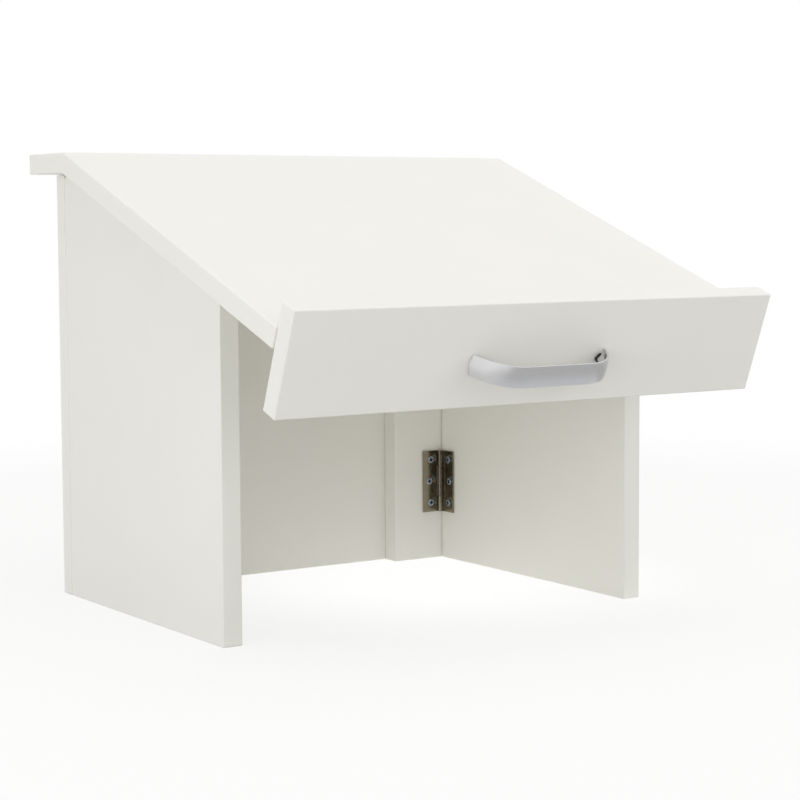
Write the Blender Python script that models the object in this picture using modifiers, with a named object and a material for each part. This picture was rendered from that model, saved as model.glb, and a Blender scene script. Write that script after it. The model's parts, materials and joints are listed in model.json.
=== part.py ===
# Folding tabletop desk: a sloped writing top with a front ledge and a pull handle, which lifts off
# a back panel with two side panels that swing in flat on butt hinges.
# Metres, +Z up, the front towards -Y. The origin is the middle of the back panel's bottom edge.

from math import cos, hypot, pi, radians, sin, tan

import bmesh
import bpy
from mathutils import Matrix, Vector

MM = 0.001

# Base boards
BACK_HEIGHT = 383.5 * MM
BACK_THICKNESS = 16 * MM
SIDE_THICKNESS = 18 * MM
SIDE_LENGTH = 287 * MM
BATTEN_WIDTH = 74 * MM

# Top boards: a flat rear strip, a sloped board mitred to it, and a ledge across the front
TOP_WIDTH = 472 * MM
TOP_OVERHANG = 27 * MM
TOP_THICKNESS = 18 * MM
TOP_SLOPE = radians(20.5)
STRIP_DEPTH = 72 * MM
STRIP_SETBACK = 2 * MM
BOARD_LENGTH = 389.7 * MM
LEDGE_THICKNESS = 18 * MM
LEDGE_HEIGHT = 88 * MM
LEDGE_LIP = 20 * MM
LEDGE_INSET = 1.5 * MM
EDGE_EASE = 1.2 * MM
EASE_SEGMENTS = 2

# Butt hinges
HINGE_HEIGHT = 62 * MM
HINGE_END_DISTANCE = 78.5 * MM
LEAF_WIDTH = 20 * MM
LEAF_THICKNESS = 1.5 * MM
LEAF_STEP = 0.1 * MM
KNUCKLE_RADIUS = 2.8 * MM
KNUCKLE_SIDES = 20
MIDDLE_KNUCKLE = 30 * MM
PIN_RADIUS = 1.4 * MM

# Countersunk hinge screws
SCREW_LENGTH = 13 * MM
SCREW_HEAD_RADIUS = 3.5 * MM
SCREW_RIM = 0.2 * MM
SCREW_SHANK_RADIUS = 1.6 * MM
SCREW_TIP = 2.5 * MM
SCREW_PROUD = 0.2 * MM
SCREW_SIDES = 12
SCREW_PITCH = 21.8 * MM
SCREW_INSET = 10.5 * MM
SCREW_STAGGER = 2 * MM
RECESS_SPAN = 3.8 * MM
RECESS_WIDTH = 0.9 * MM
RECESS_DEPTH = 1.1 * MM

# Pull handle: a bent band whose legs run out to a pointed foot on their inner side. A spacer is let into
# the foot's underside, and a machine screw through the ledge and the spacer holds each foot.
HANDLE_LENGTH = 135.4 * MM
HANDLE_WIDTH = 18.2 * MM
HANDLE_THICKNESS = 2.5 * MM
HANDLE_PROJECTION = 29.5 * MM
HANDLE_BEND = 34.5 * MM
HANDLE_LEAN = radians(28)
HANDLE_DROP = 50.7 * MM
HANDLE_ARC_STEPS = 8
HANDLE_EASE = 0.5 * MM
FOOT_LENGTH = 10.4 * MM
FOOT_MARGIN = 0.6 * MM
FOOT_TIP_RADIUS = 1.6 * MM
FOOT_TIP_ANGLE = radians(45)
FOOT_ARC_STEPS = 6
SPACER_WIDTH = 8.6 * MM
SPACER_HEIGHT = 2 * MM
HANDLE_SCREW_INSET = 6.1 * MM
HANDLE_SCREW_RADIUS = 2 * MM
HANDLE_SCREW_GRIP = 6 * MM
PAN_HEAD_RADIUS = 4 * MM
PAN_HEAD_HEIGHT = 2.6 * MM
PAN_HEAD_CROWN = 0.8 * MM

# Dowels
DOWEL_RADIUS = 4 * MM
DOWEL_SIDES = 16
DOWEL_END_DISTANCE = 66 * MM
MITRE_DOWEL_LENGTH = 24 * MM
LEDGE_DOWEL_IN_LEDGE = 10 * MM
LEDGE_DOWEL_IN_BOARD = 20 * MM
BATTEN_DOWEL_LENGTH = 18 * MM
BATTEN_DOWEL_INSET = 20 * MM
BATTEN_DOWEL_END_DISTANCE = 40 * MM
LOCATOR_SPACING = 240 * MM
LOCATOR_IN_BACK = 20 * MM
LOCATOR_RISE = 10 * MM

# Clearances
SEAT_GAP = 0.3 * MM          # between pieces that rest on each other
SIDE_TOP_GAP = 0.3 * MM      # above a side panel where it swings closest to the top
SIDE_REAR_GAP = 1 * MM       # behind a side panel, at its hinged edge
FOLD_GAP = 1 * MM            # between the two side panels when both are folded in
KNUCKLE_GAP = 0.4 * MM       # between neighbouring knuckles
PIN_GAP = 0.1 * MM           # round the hinge pin
SCREW_GAP = 0.2 * MM         # round a screw in its hole
DOWEL_GAP = 0.2 * MM         # round a dowel in its hole
HOLE_END_GAP = 0.5 * MM      # past the end of a dowel or screw
CUT_OVERSHOOT = 1 * MM       # how far a cutter stands out of the face it starts from

# Places worked out from the dimensions
BASE_WIDTH = TOP_WIDTH - 2 * TOP_OVERHANG
BACK_FRONT_Y = -BACK_THICKNESS / 2
BATTEN_THICKNESS = SIDE_THICKNESS + FOLD_GAP
BATTEN_REAR_Y = BACK_FRONT_Y - SEAT_GAP
BATTEN_FRONT_Y = BATTEN_REAR_Y - BATTEN_THICKNESS
TOP_UNDERSIDE_Z = BACK_HEIGHT + SEAT_GAP
TOP_Z = TOP_UNDERSIDE_Z + TOP_THICKNESS
STRIP_REAR_Y = BACK_THICKNESS / 2 - STRIP_SETBACK
MITRE_Y = STRIP_REAR_Y - STRIP_DEPTH
MITRE_STEP = TOP_THICKNESS * tan(TOP_SLOPE / 2)
LEDGE_REAR = -BOARD_LENGTH - SEAT_GAP
LEDGE_FRONT = LEDGE_REAR - LEDGE_THICKNESS
AXIS_OFFSET = KNUCKLE_RADIUS + SEAT_GAP
LEAF_BACK = KNUCKLE_RADIUS - LEAF_STEP
LEAF_FRONT = LEAF_BACK - LEAF_THICKNESS
HANDLE_SCREW_X = HANDLE_LENGTH / 2 - HANDLE_SCREW_INSET
HANDLE_WALL = HANDLE_THICKNESS / cos(HANDLE_LEAN)      # a leg's thickness along the ledge
FOOT_TIP_X = HANDLE_LENGTH / 2 - FOOT_LENGTH
HINGE_HEIGHTS = {"lower": HINGE_END_DISTANCE, "upper": BACK_HEIGHT - HINGE_END_DISTANCE}
# For each side: which way its outer face looks along X, and the face that its hinges stand on.
SIDES = {"left": (-1, BACK_FRONT_Y), "right": (1, BATTEN_FRONT_Y)}
# The sloped pieces share a frame with its X axis along the mitre's ridge and its Y axis up the slope.
SLOPE_FRAME = Matrix.Translation((0, MITRE_Y, TOP_Z)) @ Matrix.Rotation(TOP_SLOPE, 4, "X")


def clear_scene():
    for old in list(bpy.data.objects):
        bpy.data.objects.remove(old, do_unlink=True)


def make_collection(name):
    collection = bpy.data.collections.new(name)
    bpy.context.scene.collection.children.link(collection)
    return collection


def make_material(name, colour, roughness, metallic):
    material = bpy.data.materials.new(name)
    material.use_nodes = True
    shader = material.node_tree.nodes["Principled BSDF"]
    shader.inputs["Base Color"].default_value = (*colour, 1)
    shader.inputs["Roughness"].default_value = roughness
    shader.inputs["Metallic"].default_value = metallic
    material.diffuse_color = (*colour, 1)
    return material


clear_scene()
PARTS = make_collection("folding_tabletop_desk")
CUTTERS = make_collection("cutters")
WHITE_PAINT = make_material("white_painted_board", (0.86, 0.86, 0.83), 0.5, 0)
NICKEL = make_material("nickel_plated_steel", (0.45, 0.41, 0.34), 0.25, 1)
ZINC = make_material("blue_zinc_plated_steel", (0.45, 0.53, 0.60), 0.3, 1)
ALUMINIUM = make_material("satin_aluminium", (0.66, 0.66, 0.66), 0.38, 1)
BEECH = make_material("beech", (0.62, 0.44, 0.27), 0.6, 0)
BLACK_PLASTIC = make_material("black_plastic", (0.02, 0.02, 0.02), 0.4, 0)


def add_part(name, mesh, material, place=Matrix(), axis=None):
    part = bpy.data.objects.new(name, mesh)
    PARTS.objects.link(part)
    part.matrix_world = place
    if axis:
        part.parent = axis
        part.matrix_parent_inverse = axis.matrix_world.inverted()
    if not mesh.materials:
        mesh.materials.append(material)
    return part


def add_axis(name, place):
    axis = bpy.data.objects.new(name, None)
    axis.empty_display_size = LEAF_WIDTH
    axis.location = place
    PARTS.objects.link(axis)
    bpy.context.view_layer.update()
    return axis


def mesh_from(bm, name):
    bmesh.ops.recalc_face_normals(bm, faces=bm.faces)
    mesh = bpy.data.meshes.new(name)
    bm.to_mesh(mesh)
    bm.free()
    return mesh


def evaluated_mesh(holder):
    bpy.context.view_layer.update()
    graph = bpy.context.evaluated_depsgraph_get()
    mesh = bpy.data.meshes.new_from_object(holder.evaluated_get(graph), depsgraph=graph)
    bpy.data.objects.remove(holder, do_unlink=True)
    return mesh


def add_box(bm, low, high):
    size = Vector(high) - Vector(low)
    middle = (Vector(high) + Vector(low)) / 2
    bmesh.ops.create_cube(bm, size=1, matrix=Matrix.Translation(middle) @ Matrix.Diagonal((*size, 1)))


def box_between(low, high):
    bm = bmesh.new()
    add_box(bm, low, high)
    return bm


def prism(outline, depth):
    # A flat outline as a filled curve, as deep as asked, half to each side of its plane.
    curve = bpy.data.curves.new("outline", "CURVE")
    curve.dimensions = "2D"
    curve.fill_mode = "BOTH"
    curve.extrude = depth / 2
    spline = curve.splines.new("POLY")
    spline.points.add(len(outline) - 1)
    for point, (u, v) in zip(spline.points, outline):
        point.co = (u, v, 0, 1)
    spline.use_cyclic_u = True
    holder = bpy.data.objects.new("outline", curve)
    CUTTERS.objects.link(holder)
    bm = bmesh.new()
    bm.from_mesh(evaluated_mesh(holder))
    bpy.data.curves.remove(curve)
    bmesh.ops.remove_doubles(bm, verts=bm.verts, dist=0.001 * MM)
    bmesh.ops.dissolve_limit(bm, angle_limit=radians(0.5), verts=bm.verts, edges=bm.edges)
    return bm


def profile_board(profile, width):
    # A board with its profile in the YZ plane and its width along X.
    bm = prism(profile, width)
    upright = Matrix(((0, 0, 1), (1, 0, 0), (0, 1, 0))).to_4x4()
    bmesh.ops.transform(bm, matrix=upright, verts=bm.verts)
    return bm


def ease_edges(bm, radius, kept_sharp=None):
    # Rounds every real corner edge, apart from those that the test keeps sharp.
    bm.normal_update()
    edges = [edge for edge in bm.edges if edge.calc_face_angle(0) > radians(30)]
    if kept_sharp:
        edges = [edge for edge in edges if not kept_sharp(edge)]
    bmesh.ops.bevel(bm, geom=edges, offset=radius, segments=EASE_SEGMENTS, profile=0.5, affect="EDGES")


def turned(name, profile, sides):
    # A solid of revolution about Z; the profile runs down its outer side from the axis to the axis.
    mesh = bpy.data.meshes.new(name)
    edges = [(i, i + 1) for i in range(len(profile) - 1)]
    mesh.from_pydata([(radius, 0, height) for radius, height in profile], edges, [])
    holder = bpy.data.objects.new(name, mesh)
    CUTTERS.objects.link(holder)
    spin = holder.modifiers.new("turn", "SCREW")
    spin.steps = sides
    spin.render_steps = sides
    spin.use_merge_vertices = True
    spin.merge_threshold = 0.001 * MM
    bm = bmesh.new()
    bm.from_mesh(evaluated_mesh(holder))
    bpy.data.meshes.remove(mesh)
    return bm


def add_cylinder(bm, place, radius, low, high, sides, far_radius=None):
    # A closed cylinder or cone from low to high along the Z axis of the place, radius at its low end.
    bmesh.ops.create_cone(
        bm, cap_ends=True, segments=sides, radius1=radius, radius2=far_radius or radius, depth=high - low,
        matrix=place @ Matrix.Translation((0, 0, (low + high) / 2)))


def cut(part, bm, name, operation="DIFFERENCE"):
    # Cuts the closed bodies in bm, which is in world space, from a part, or joins them to it.
    cutter = bpy.data.objects.new(name, mesh_from(bm, name))
    CUTTERS.objects.link(cutter)
    cutter.hide_render = True
    cutter.display_type = "WIRE"
    modifier = part.modifiers.new(name, "BOOLEAN")
    modifier.operation = operation
    modifier.solver = "EXACT"
    modifier.object = cutter


def dowel_mesh(length):
    bm = bmesh.new()
    add_cylinder(bm, Matrix(), DOWEL_RADIUS, -length / 2, length / 2, DOWEL_SIDES)
    return mesh_from(bm, "dowel")


def bore_for_dowel(bm, place, length):
    reach = length / 2 + HOLE_END_GAP
    add_cylinder(bm, place, DOWEL_RADIUS + DOWEL_GAP, -reach, reach, DOWEL_SIDES)


def add_dowels(stem, places, length, boards, axis=None):
    # One dowel at each place, along its Z axis, with a bore for it in both boards.
    mesh = dowel_mesh(length)
    for board in boards:
        bm = bmesh.new()
        for place in places:
            bore_for_dowel(bm, place, length)
        cut(board, bm, f"{stem}_bores_in_{board.name}")
    for number, place in enumerate(places, 1):
        add_part(f"{stem}_{number}", mesh, BEECH, place, axis)


def hinge_axis(side):
    outward, face_y = SIDES[side]
    return Vector((outward * (BASE_WIDTH / 2 - SIDE_THICKNESS - AXIS_OFFSET), face_y - AXIS_OFFSET, 0))


def leaf_turns(side):
    # How the fixed and the moving leaf turn from the leaf's own frame: plate along +X, wood at +Y.
    quarter_back = Matrix.Rotation(-pi / 2, 4, "Z")
    if side == "left":
        return Matrix(), quarter_back @ Matrix.Rotation(pi, 4, "X")
    return Matrix.Rotation(pi, 4, "Y"), quarter_back


# Base boards
def build_base_boards():
    half = BASE_WIDTH / 2
    bm = box_between((-half, BACK_FRONT_Y, 0), (half, BACK_FRONT_Y + BACK_THICKNESS, BACK_HEIGHT))
    ease_edges(bm, EDGE_EASE)
    back = add_part("back_panel", mesh_from(bm, "back_panel"), WHITE_PAINT)

    batten_left = half - BATTEN_WIDTH
    bm = box_between((batten_left, BATTEN_FRONT_Y, 0), (half, BATTEN_REAR_Y, BACK_HEIGHT))
    ease_edges(bm, EDGE_EASE)
    batten = add_part("hinge_batten", mesh_from(bm, "hinge_batten"), WHITE_PAINT)

    along_y = Matrix.Rotation(pi / 2, 4, "X")
    heights = (BATTEN_DOWEL_END_DISTANCE, BACK_HEIGHT / 2, BACK_HEIGHT - BATTEN_DOWEL_END_DISTANCE)
    joint_y = (BACK_FRONT_Y + BATTEN_REAR_Y) / 2
    places = [Matrix.Translation((batten_left + BATTEN_DOWEL_INSET, joint_y, z)) @ along_y for z in heights]
    add_dowels("batten_dowel", places, BATTEN_DOWEL_LENGTH, (back, batten))
    return back, batten


def swing_gap(side, y):
    # Room above a side panel at y: its outer face swings forward first, to where the top is lower.
    from_pin = hinge_axis(side).y - y
    forward = hypot(from_pin, SIDE_THICKNESS + AXIS_OFFSET) - from_pin
    return forward * tan(TOP_SLOPE) + SIDE_TOP_GAP


def build_side_panel(side, axis):
    # The top edge runs level under the rear strip and then down the slope, with room to swing.
    outward, face_y = SIDES[side]
    rear = face_y - SIDE_REAR_GAP
    front = rear - SIDE_LENGTH
    bend = MITRE_Y + MITRE_STEP
    level = TOP_UNDERSIDE_Z - swing_gap(side, bend)
    front_top = TOP_UNDERSIDE_Z - (bend - front) * tan(TOP_SLOPE) - swing_gap(side, front)
    profile = [(rear, 0), (rear, level), (bend, level), (front, front_top), (front, 0)]
    bm = profile_board(profile, SIDE_THICKNESS)
    ease_edges(bm, EDGE_EASE)
    place = Matrix.Translation((outward * (BASE_WIDTH - SIDE_THICKNESS) / 2, 0, 0))
    return add_part(f"{side}_side_panel", mesh_from(bm, f"{side}_side_panel"), WHITE_PAINT, place, axis)


# Hinges
def leaf_mesh(name, moving):
    # The plate with its knuckles, about the pin's axis: the moving leaf holds the middle knuckle.
    half = HINGE_HEIGHT / 2
    inner = MIDDLE_KNUCKLE / 2
    past_end = half + CUT_OVERSHOOT
    if moving:
        inner -= KNUCKLE_GAP
        knuckles = [(-inner, inner)]
        notches = [(-past_end, -inner), (inner, past_end)]
    else:
        knuckles = [(-half, -inner), (inner, half)]
        notches = [(-inner, inner)]

    plate = add_part(
        name, mesh_from(box_between((0, LEAF_FRONT, -half), (LEAF_WIDTH, LEAF_BACK, half)), name), NICKEL)

    bm = bmesh.new()
    reach = KNUCKLE_RADIUS + KNUCKLE_GAP
    for low, high in notches:
        add_box(bm, (-reach, -reach, low), (reach, reach, high))
    cut(plate, bm, f"{name}_notches")

    bm = bmesh.new()
    half_step = Matrix.Rotation(pi / KNUCKLE_SIDES, 4, "Z")
    for low, high in knuckles:
        add_cylinder(bm, half_step, KNUCKLE_RADIUS, low, high, KNUCKLE_SIDES)
    cut(plate, bm, f"{name}_knuckles", "UNION")

    bm = bmesh.new()
    add_cylinder(bm, Matrix(), PIN_RADIUS + PIN_GAP, -past_end, past_end, KNUCKLE_SIDES)
    bottom = -SCREW_PROUD - LEAF_THICKNESS - LEAF_STEP
    for spot in screw_spots(Matrix()):
        wide = cone_radius(CUT_OVERSHOOT) + SCREW_GAP
        add_cylinder(bm, spot, cone_radius(bottom) + SCREW_GAP, bottom, CUT_OVERSHOOT, SCREW_SIDES, wide)
    cut(plate, bm, f"{name}_holes")
    return evaluated_mesh(plate)


def cone_radius(height):
    # The radius of a countersunk head's 90 degree cone, at a height above the head's top face.
    return SCREW_HEAD_RADIUS + SCREW_RIM + height


def screw_spots(place):
    # Where a leaf's screws sit: the Z axis points out of the wood, its origin on the head's top face.
    spots = []
    for step in (-1, 0, 1):
        inset = SCREW_INSET + (SCREW_STAGGER if step == 0 else 0)
        seat = Matrix.Translation((inset, LEAF_FRONT - SCREW_PROUD, step * SCREW_PITCH))
        spots.append(place @ seat @ Matrix.Rotation(pi / 2, 4, "X"))
    return spots


def hinge_screw_mesh():
    # A countersunk wood screw with a cross recess, its head's top face at the origin, pointing down.
    taper_end = SCREW_RIM + SCREW_HEAD_RADIUS - SCREW_SHANK_RADIUS
    profile = [
        (0, 0),
        (SCREW_HEAD_RADIUS, 0),
        (SCREW_HEAD_RADIUS, -SCREW_RIM),
        (SCREW_SHANK_RADIUS, -taper_end),
        (SCREW_SHANK_RADIUS, SCREW_TIP - SCREW_LENGTH),
        (0, -SCREW_LENGTH),
    ]
    screw = add_part("screw", mesh_from(turned("screw", profile, SCREW_SIDES), "screw"), ZINC)
    long = RECESS_SPAN / 2
    wide = RECESS_WIDTH / 2
    for number, turn in enumerate((0, pi / 2)):
        slot = box_between((-long, -wide, -RECESS_DEPTH), (long, wide, CUT_OVERSHOOT))
        bmesh.ops.rotate(slot, matrix=Matrix.Rotation(turn, 3, "Z"), verts=slot.verts)
        cut(screw, slot, f"recess_{number}")
    return evaluated_mesh(screw)


def pin_mesh():
    bm = bmesh.new()
    add_cylinder(bm, Matrix(), PIN_RADIUS, -HINGE_HEIGHT / 2, HINGE_HEIGHT / 2, KNUCKLE_SIDES)
    return mesh_from(bm, "hinge_pin")


def drill_for_screws(board, spots):
    bm = bmesh.new()
    radius = SCREW_SHANK_RADIUS + SCREW_GAP
    for spot in spots:
        add_cylinder(bm, spot, radius, -SCREW_LENGTH - HOLE_END_GAP, CUT_OVERSHOOT, SCREW_SIDES)
    cut(board, bm, f"pilot_holes_in_{board.name}")


def build_hinges(panels, carriers, axes):
    fixed_mesh = leaf_mesh("fixed_leaf", False)
    moving_mesh = leaf_mesh("moving_leaf", True)
    screw = hinge_screw_mesh()
    pin = pin_mesh()
    for side in SIDES:
        fixed_turn, moving_turn = leaf_turns(side)
        fixed_spots = []
        moving_spots = []
        for level, height in HINGE_HEIGHTS.items():
            stem = f"{side}_{level}_hinge"
            middle = Matrix.Translation(hinge_axis(side) + Vector((0, 0, height)))
            add_part(f"{stem}_fixed_leaf", fixed_mesh, NICKEL, middle @ fixed_turn)
            add_part(f"{stem}_moving_leaf", moving_mesh, NICKEL, middle @ moving_turn, axes[side])
            add_part(f"{stem}_pin", pin, NICKEL, middle)
            here_fixed = screw_spots(middle @ fixed_turn)
            here_moving = screw_spots(middle @ moving_turn)
            for number, spot in enumerate(here_fixed, 1):
                add_part(f"{stem}_fixed_screw_{number}", screw, ZINC, spot)
            for number, spot in enumerate(here_moving, 1):
                add_part(f"{stem}_moving_screw_{number}", screw, ZINC, spot, axes[side])
            fixed_spots += here_fixed
            moving_spots += here_moving
        drill_for_screws(carriers[side], fixed_spots)
        drill_for_screws(panels[side], moving_spots)


# Top
def build_top_boards(axis, back):
    def on_strip_mitre(edge):
        return all(vert.co.y < MITRE_Y + MITRE_STEP + SEAT_GAP for vert in edge.verts)

    def on_board_mitre(edge):
        return all(vert.co.y > -MITRE_STEP - SEAT_GAP for vert in edge.verts)

    half_gap = SEAT_GAP / 2
    strip_end = MITRE_Y + half_gap
    profile = [
        (STRIP_REAR_Y, TOP_UNDERSIDE_Z),
        (STRIP_REAR_Y, TOP_Z),
        (strip_end, TOP_Z),
        (strip_end + MITRE_STEP, TOP_UNDERSIDE_Z),
    ]
    bm = profile_board(profile, TOP_WIDTH)
    ease_edges(bm, EDGE_EASE, on_strip_mitre)
    strip = add_part("top_rear_strip", mesh_from(bm, "top_rear_strip"), WHITE_PAINT, axis=axis)

    profile = [
        (-half_gap, 0),
        (-BOARD_LENGTH, 0),
        (-BOARD_LENGTH, -TOP_THICKNESS),
        (-half_gap - MITRE_STEP, -TOP_THICKNESS),
    ]
    bm = profile_board(profile, TOP_WIDTH)
    ease_edges(bm, EDGE_EASE, on_board_mitre)
    board = add_part("top_sloped_board", mesh_from(bm, "top_sloped_board"), WHITE_PAINT, SLOPE_FRAME, axis)

    half = TOP_WIDTH / 2 - LEDGE_INSET
    bm = box_between((-half, LEDGE_FRONT, LEDGE_LIP - LEDGE_HEIGHT), (half, LEDGE_REAR, LEDGE_LIP))
    ease_edges(bm, EDGE_EASE)
    ledge = add_part("front_ledge", mesh_from(bm, "front_ledge"), WHITE_PAINT, SLOPE_FRAME, axis)

    reach = TOP_WIDTH / 2 - DOWEL_END_DISTANCE
    rows = (-reach, 0, reach)
    half_slope = Matrix.Rotation(TOP_SLOPE / 2 - pi / 2, 4, "X")
    middle = (MITRE_Y + MITRE_STEP / 2, TOP_Z - TOP_THICKNESS / 2)
    places = [Matrix.Translation((x, *middle)) @ half_slope for x in rows]
    add_dowels("mitre_dowel", places, MITRE_DOWEL_LENGTH, (strip, board), axis)

    length = LEDGE_DOWEL_IN_LEDGE + LEDGE_DOWEL_IN_BOARD
    centre = LEDGE_REAR - LEDGE_DOWEL_IN_LEDGE + length / 2
    down_slope = Matrix.Rotation(pi / 2, 4, "X")
    places = [SLOPE_FRAME @ Matrix.Translation((x, centre, -TOP_THICKNESS / 2)) @ down_slope for x in rows]
    add_dowels("ledge_dowel", places, length, (board, ledge), axis)

    length = LOCATOR_IN_BACK + LOCATOR_RISE
    centre = BACK_HEIGHT + LOCATOR_RISE - length / 2
    places = [Matrix.Translation((x, 0, centre)) for x in (-LOCATOR_SPACING / 2, LOCATOR_SPACING / 2)]
    add_dowels("locating_dowel", places, length, (back, strip))
    return ledge


# Handle
def handle_outline():
    # The band in plan: X along the ledge, Y out of its face. The right half runs from the root outside
    # round the bend to the middle, and the inner side comes back to the root.
    half = HANDLE_LENGTH / 2
    centre_out = HANDLE_PROJECTION - HANDLE_BEND
    centre_x = half - (HANDLE_BEND + centre_out * sin(HANDLE_LEAN)) / cos(HANDLE_LEAN)

    def bend(radius):
        step = (pi / 2 - HANDLE_LEAN) / HANDLE_ARC_STEPS
        turns = [HANDLE_LEAN + step * i for i in range(HANDLE_ARC_STEPS + 1)]
        return [(centre_x + radius * cos(turn), centre_out + radius * sin(turn)) for turn in turns]

    outer = [(half, 0)] + bend(HANDLE_BEND)
    inner = bend(HANDLE_BEND - HANDLE_THICKNESS)[::-1] + [(leg_inside(0), 0)]
    left_inner = [(-x, out) for x, out in inner[::-1]]
    left_outer = [(-x, out) for x, out in outer[::-1]]
    return outer + left_outer + left_inner + inner


def leg_inside(out):
    # How far from the middle the inner side of a leg is, at a distance out of the ledge.
    return HANDLE_LENGTH / 2 - HANDLE_WALL - out * tan(HANDLE_LEAN)


def pointed(half_width, end, low, height):
    # A block on the ledge at the right leg: a blunt tip towards the handle's middle, two flanks that run
    # back to the half width, and straight sides from there to x = end.
    centre = FOOT_TIP_X + FOOT_TIP_RADIUS
    half_turn = pi / 2 - FOOT_TIP_ANGLE
    turns = [pi - half_turn + 2 * half_turn * i / FOOT_ARC_STEPS for i in range(FOOT_ARC_STEPS + 1)]
    tip = [(centre + FOOT_TIP_RADIUS * cos(turn), FOOT_TIP_RADIUS * sin(turn)) for turn in turns]
    shoulder = tip[0][0] + (half_width - tip[0][1]) / tan(FOOT_TIP_ANGLE)
    rear = [(shoulder, -half_width), (end, -half_width), (end, half_width), (shoulder, half_width)]
    bm = prism(tip + rear, height)
    lie_flat = Matrix.Translation((0, low + height / 2, 0)) @ Matrix.Rotation(-pi / 2, 4, "X")
    bmesh.ops.transform(bm, matrix=lie_flat, verts=bm.verts)
    return bm


def foot_body():
    # The block under the right leg, cut off along the middle of the leg's wall.
    middle = leg_inside(0) + HANDLE_WALL / 2
    height = (middle - FOOT_TIP_X) / tan(HANDLE_LEAN) + CUT_OVERSHOOT
    bm = pointed(HANDLE_WIDTH / 2 - FOOT_MARGIN, HANDLE_LENGTH / 2, 0, height)
    bmesh.ops.bisect_plane(
        bm, geom=bm.verts[:] + bm.edges[:] + bm.faces[:], plane_co=(middle, 0, 0),
        plane_no=(cos(HANDLE_LEAN), sin(HANDLE_LEAN), 0), clear_outer=True)
    bmesh.ops.holes_fill(bm, edges=[edge for edge in bm.edges if edge.is_boundary])
    return bm


def handle_screw_mesh():
    # A pan head machine screw pointing down, the underside of its head at the origin.
    reach = SEAT_GAP + LEDGE_THICKNESS + SEAT_GAP + HANDLE_SCREW_GRIP
    profile = [
        (0, PAN_HEAD_HEIGHT),
        (PAN_HEAD_RADIUS - PAN_HEAD_CROWN, PAN_HEAD_HEIGHT),
        (PAN_HEAD_RADIUS, PAN_HEAD_HEIGHT - PAN_HEAD_CROWN),
        (PAN_HEAD_RADIUS, 0),
        (HANDLE_SCREW_RADIUS, 0),
        (HANDLE_SCREW_RADIUS, -reach),
        (0, -reach),
    ]
    return mesh_from(turned("handle_screw", profile, SCREW_SIDES), "handle_screw")


def build_handle(axis, ledge):
    middle_z = LEDGE_LIP - HANDLE_DROP
    bm = prism(handle_outline(), HANDLE_WIDTH)
    ease_edges(bm, HANDLE_EASE)
    out_of_front = Matrix.Rotation(pi, 4, "X")
    face = SLOPE_FRAME @ Matrix.Translation((0, LEDGE_FRONT - SEAT_GAP, middle_z)) @ out_of_front
    handle = add_part("pull_handle", mesh_from(bm, "pull_handle"), ALUMINIUM, face, axis)

    # Each spacer ends under its leg's wall and shows at the foot's tip, where its recess is open.
    spacer_end = leg_inside(SPACER_HEIGHT) + HANDLE_WALL / 2 - SEAT_GAP
    spacer_mesh = mesh_from(pointed(SPACER_WIDTH / 2, spacer_end, 0, SPACER_HEIGHT), "handle_spacer")
    recess_half = SPACER_WIDTH / 2 + SEAT_GAP
    recess_low = (FOOT_TIP_X - CUT_OVERSHOOT, -CUT_OVERSHOOT, -recess_half)
    recess_high = (spacer_end + SEAT_GAP, SPACER_HEIGHT + SEAT_GAP, recess_half)
    screw = handle_screw_mesh()
    out_of_rear = Matrix.Rotation(-pi / 2, 4, "X")
    radius = HANDLE_SCREW_RADIUS + SCREW_GAP
    through = SEAT_GAP + LEDGE_THICKNESS
    depth = through + SEAT_GAP + HANDLE_SCREW_GRIP + HOLE_END_GAP
    holes = bmesh.new()
    tapped = bmesh.new()
    for name, turn, x in (("left", pi, -HANDLE_SCREW_X), ("right", 0, HANDLE_SCREW_X)):
        end = face @ Matrix.Rotation(turn, 4, "Y")
        foot = foot_body()
        bmesh.ops.transform(foot, matrix=end, verts=foot.verts)
        cut(handle, foot, f"handle_foot_{name}", "UNION")
        recess = bmesh.new()
        add_box(recess, recess_low, recess_high)
        bmesh.ops.transform(recess, matrix=end, verts=recess.verts)
        cut(handle, recess, f"handle_recess_{name}")
        seat = SLOPE_FRAME @ Matrix.Translation((x, LEDGE_REAR + SEAT_GAP, middle_z)) @ out_of_rear
        add_part(f"handle_screw_{name}", screw, ZINC, seat, axis)
        add_cylinder(holes, seat, radius, -through - CUT_OVERSHOOT, CUT_OVERSHOOT, SCREW_SIDES)
        add_cylinder(tapped, seat, radius, -depth, -through, SCREW_SIDES)
        spacer = add_part(f"handle_spacer_{name}", spacer_mesh, BLACK_PLASTIC, end, axis)
        bore = bmesh.new()
        add_cylinder(bore, seat, radius, -depth, -through, SCREW_SIDES)
        cut(spacer, bore, f"handle_spacer_bore_{name}")
    cut(ledge, holes, "handle_screw_holes")
    cut(handle, tapped, "handle_tapped_holes")


def shade_round_pieces():
    for part in PARTS.objects:
        if part.type == "MESH":
            part.data.shade_smooth()
            part.data.set_sharp_from_angle(angle=radians(35))


back_panel, hinge_batten = build_base_boards()
fold_axes = {side: add_axis(f"{side}_fold_axis", hinge_axis(side)) for side in SIDES}
lift_axis = add_axis("top_lift_axis", (0, 0, BACK_HEIGHT))
side_panels = {side: build_side_panel(side, fold_axes[side]) for side in SIDES}
build_hinges(side_panels, {"left": back_panel, "right": hinge_batten}, fold_axes)
front_ledge = build_top_boards(lift_axis, back_panel)
build_handle(lift_axis, front_ledge)
shade_round_pieces()
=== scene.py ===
import json
from math import asin, atan2, copysign, cos, pi, radians, sin, tan

import bmesh
import bpy
from mathutils import Matrix, Vector


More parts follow.
